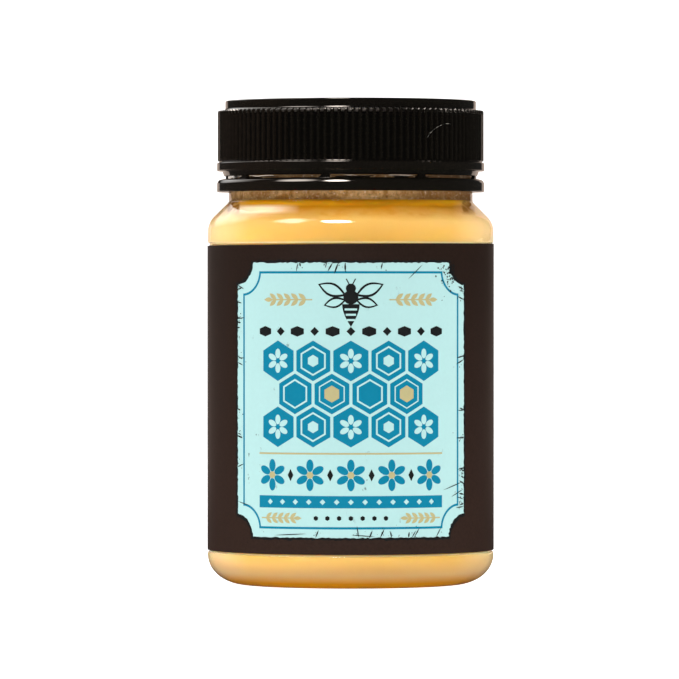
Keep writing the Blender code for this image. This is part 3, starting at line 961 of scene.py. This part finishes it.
capSet = {
    "ribs": 120, "columnsPerRib": 4, "ribTurn": -101.0, "ribSlope": 0.24, "ribHeight": 0.4,
    "ribFoot": 0.3, "ribTop": 0.35,
    "slit": 0.7, "lip": 1.25, "lipRadius": 31.8, "lipFlare": 0.45, "flange": 2.1, "flangeRadius": 33.6,
    "flangeRound": {1: 0.25, 2: 0.3, 3: 0.15, 4: 0.15},
    "skirt": 13.1, "skirtRadius": 33.0, "skirtBore": 31.5, "skirtRound": (0.9, 0.55), "skirtFoot": 0.3,
    "disc": 2.5, "discRadius": 31.5, "discBore": 30.0, "discRound": (0.7, 0.28), "discFoot": 0.55,
    "top": 1.6, "edgeRound": 0.06, "ringSteps": 240, "ringHeight": 3.3, "ringBore": 31.1,
    "ringTop": [(0, -1.1), (-0.415, -0.3), (-1.4, 0)],
    "ringRound": {0: 0.15, 1: 0.3, 2: 0.2, 3: 0.3, 4: 0.3, 5: 0.1},
    "bridges": 8, "bridgeTurn": -101.0, "bridgeSize": (1.0, 1.7, 1.2), "bridgeRadius": 31.5,
    "bridgeRamp": 1.5, "bridgeLean": 0.15, "bridgeRound": 0.08,
    "colour": (0.0055, 0.0046, 0.0033), "warmReflection": (0.0092, 0.0065, 0.0045), "warmReflectionUpTo": (-0.021, -0.012, 1, 0),
    "valley": (0.0008, 0.0006, 0.0004), "valleyFrom": (0.48, 0.62), "valleyDull": 0.4,
    "dullFrom": (0.0205, 0.0225), "polish": (0.3, 0.7, 0.05, 0.10),
    "shadeEnds": (0.1, 0.15, 0.1), "dullEnds": (-1.1, 0.2, 0.2),    # in mm: start, end and blend
}


def makeCapBody():
    cs = capSet
    seat = capLow.z / mm
    lipLow = seat + cs["ringHeight"] + cs["slit"]
    flangeLow = lipLow + cs["lip"]
    skirtLow = flangeLow + cs["flange"]
    ledge = skirtLow + cs["skirt"]
    top = ledge + cs["disc"]
    step = top - cs["top"] - cs["disc"]
    points = [(0.0, top), (cs["discRadius"] - 4, top)]
    discRound, foot = cs["discRound"], cs["discFoot"]
    points += arcPoints((cs["discRadius"] - discRound[0], top - discRound[1]), discRound, 90, 0, 6)
    points += arcPoints((cs["discRadius"] + foot, ledge + foot), (foot, foot), 180, 270, 5)
    skirtRound, foot = cs["skirtRound"], cs["skirtFoot"]
    points += arcPoints((cs["skirtRadius"] - skirtRound[0], ledge - skirtRound[1]), skirtRound, 90, 0, 6)
    points += arcPoints((cs["skirtRadius"] + foot, skirtLow + foot), (foot, foot), 180, 270, 4)
    flange = [
        points[-1], (cs["flangeRadius"], skirtLow), (cs["flangeRadius"], flangeLow),
        (cs["lipRadius"] + cs["lipFlare"], flangeLow), (cs["lipRadius"], lipLow), (cs["ringBore"], lipLow),
    ]
    points += roundProfile(flange, cs["flangeRound"], 4)[1:]
    points += [(cs["skirtBore"], flangeLow), (cs["skirtBore"], step), (cs["discBore"], step)]
    points += [(cs["discBore"], top - cs["top"]), (0.0, top - cs["top"])]
    columns = cs["ribs"] * cs["columnsPerRib"]
    start = math.radians(cs["ribTurn"] % (360 / columns))
    cap = turnProfile("capBody", inMetres(points), columns, start=start)
    ribLow, ribHigh = skirtLow + cs["ribFoot"], ledge - skirtRound[1] * cs["ribTop"]
    period = 360 / cs["ribs"]

    def isRib(face):
        radius = math.hypot(face.center.x, face.center.y) / mm
        height = face.center.z / mm
        turn = math.degrees(math.atan2(face.center.y, face.center.x))
        turn = (turn - cs["ribTurn"] + period / 2) % period - period / 2
        onSkirt = radius > cs["skirtRadius"] - skirtRound[0] and ribLow < height < ribHigh
        return onSkirt and abs(turn) < period / 4

    openChosen(cap, "FACE", isRib)
    bpy.ops.mesh.inset(thickness=cs["ribSlope"] * mm, depth=cs["ribHeight"] * mm, use_even_offset=True)
    return cap


def makeTamperRing():
    cs = capSet
    bore, outer, low = cs["ringBore"], cs["flangeRadius"], capLow.z / mm
    high = low + cs["ringHeight"]
    corners = [(bore, low), (outer, low)] + [(outer + out, high + up) for out, up in cs["ringTop"]]
    points = inMetres(roundProfile(corners + [(bore, high)], cs["ringRound"], 4))
    return turnProfile("capRing", points, cs["ringSteps"], loop=True)


def makeBridges():
    cs = capSet
    middle = Vector((cs["bridgeRadius"] * mm, 0, capLow.z + (cs["ringHeight"] + cs["slit"] / 2) * mm))
    bridges = []
    for index in range(cs["bridges"]):
        deselectAll()
        bpy.ops.mesh.primitive_cube_add(size=1, location=middle)
        bridge = nameIt(bpy.context.object, "capBridge")
        bridge.scale = [value * mm for value in cs["bridgeSize"]]    # through the wall, along it, and high
        applyMoves()
        for vertex in bridge.data.vertices:
            if vertex.co.y < 0 and vertex.co.z < middle.z:    # the ramp on its left
                vertex.co.y -= cs["bridgeRamp"] * mm
            elif vertex.co.x > middle.x and vertex.co.z > middle.z:
                vertex.co.x -= cs["bridgeLean"] * mm
        useModifier(bridge, "BEVEL", width=cs["bridgeRound"] * mm, segments=2, limit_method="ANGLE")
        bridge.rotation_euler.z = math.radians(cs["bridgeTurn"] + index * 360 / cs["bridges"])
        applyMoves()
        bridges.append(bridge)
    return bridges


def makeCap():
    cs = capSet
    body = makeCapBody()
    sharp = {"limit_method": "ANGLE", "angle_limit": math.radians(38)}
    useModifier(body, "BEVEL", width=cs["edgeRound"] * mm, segments=2, **sharp)
    cap = joinAll([body, makeTamperRing()] + makeBridges(), "screwCap")
    smoothByAngle(cap, 50)
    useModifier(cap, "WEIGHTED_NORMAL", keep_sharp=True, weight=80)
    material, tree = newMaterial("blackCapPlastic")
    x, y, height = addPlace(tree)
    grain = addNoise(tree, 420, 3.0)
    turn = addMath(tree, "SUBTRACT", addMath(tree, "ARCTAN2", y, x), math.radians(cs["ribTurn"]))
    halfRib = math.pi / cs["ribs"]
    wave = addMath(tree, "PINGPONG", turn, halfRib)    # 0 in the middle of each rib
    valley = addRange(tree, wave, *[share * halfRib for share in cs["valleyFrom"]])
    foot = capLow.z / mm + cs["ringHeight"] + cs["slit"] + cs["lip"] + cs["flange"]
    ledge = foot + cs["skirt"]

    def addSkirtBand(start, ends):
        return addBand(tree, height, (start + ends[0]) * mm, (ledge + ends[1]) * mm, ends[2] * mm)

    shaded = addProduct(tree, valley, addSkirtBand(foot, cs["shadeEnds"]))    # painted shade: dark between the ribs, where little light reaches
    # painted reflection: a warmer, lighter black on the left of the cap
    black = addMix(tree, addRange(tree, x, *cs["warmReflectionUpTo"]), cs["colour"], cs["warmReflection"])
    either = addMath(tree, "MAXIMUM", valley, addRange(tree, x, *cs["dullFrom"]))
    dull = addProduct(tree, either, addSkirtBand(ledge, cs["dullEnds"]))
    polish = addRange(tree, grain, *cs["polish"])
    setShader(tree, {
        "Base Color": addMix(tree, shaded, black, cs["valley"]),
        "Roughness": addMath(tree, "MULTIPLY_ADD", dull, cs["valleyDull"], polish),
        "IOR": 1.5, "Specular IOR Level": 0.75, "Specular Tint": (1.0, 0.88, 0.78),
        "Normal": addBump(tree, grain, 0.000008),
    })
    dress(cap, material)
    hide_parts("cap")


fibreSet = {    # where it crosses the ribs: degrees to the right of the front, and height in mm
    "path": [
        (34.4, 111.5), (35.6, 112.5), (37.4, 113.4), (39.8, 114.2), (42.6, 114.8), (45.6, 115.1),
        (47.6, 115.0),
    ],
    "thick": 0.14, "pale": (0.26, 0.24, 0.21), "dark": (0.004, 0.004, 0.003), "spots": (0.51, 0.55),
}


def makeFibre():    # a fine fibre caught on the ribs
    fs, cs = fibreSet, capSet
    reach = (cs["skirtRadius"] + cs["ribHeight"] + fs["thick"] * 0.3) * mm
    places = []
    for turn, height in fs["path"]:
        angle = math.radians(turn - 90)
        places.append((reach * math.cos(angle), reach * math.sin(angle), height * mm))
    makeChain("capFibre", places)
    bpy.ops.object.convert(target="CURVE")
    fibre = bpy.context.object
    fibre.data.bevel_depth = fs["thick"] / 2 * mm
    fibre.data.bevel_resolution = 1
    bpy.ops.object.convert(target="MESH")
    fibre = nameIt(bpy.context.object, "capFibre")
    smoothByAngle(fibre, 60)
    material, tree = newMaterial("fibreGrey")
    spots = addRange(tree, addNoise(tree, 1300, 2.0), *fs["spots"])
    setShader(tree, {"Base Color": addMix(tree, spots, fs["dark"], fs["pale"]), "Roughness": 0.6})
    dress(fibre, material)


makeCap()
makeFibre()
print("cap ready")
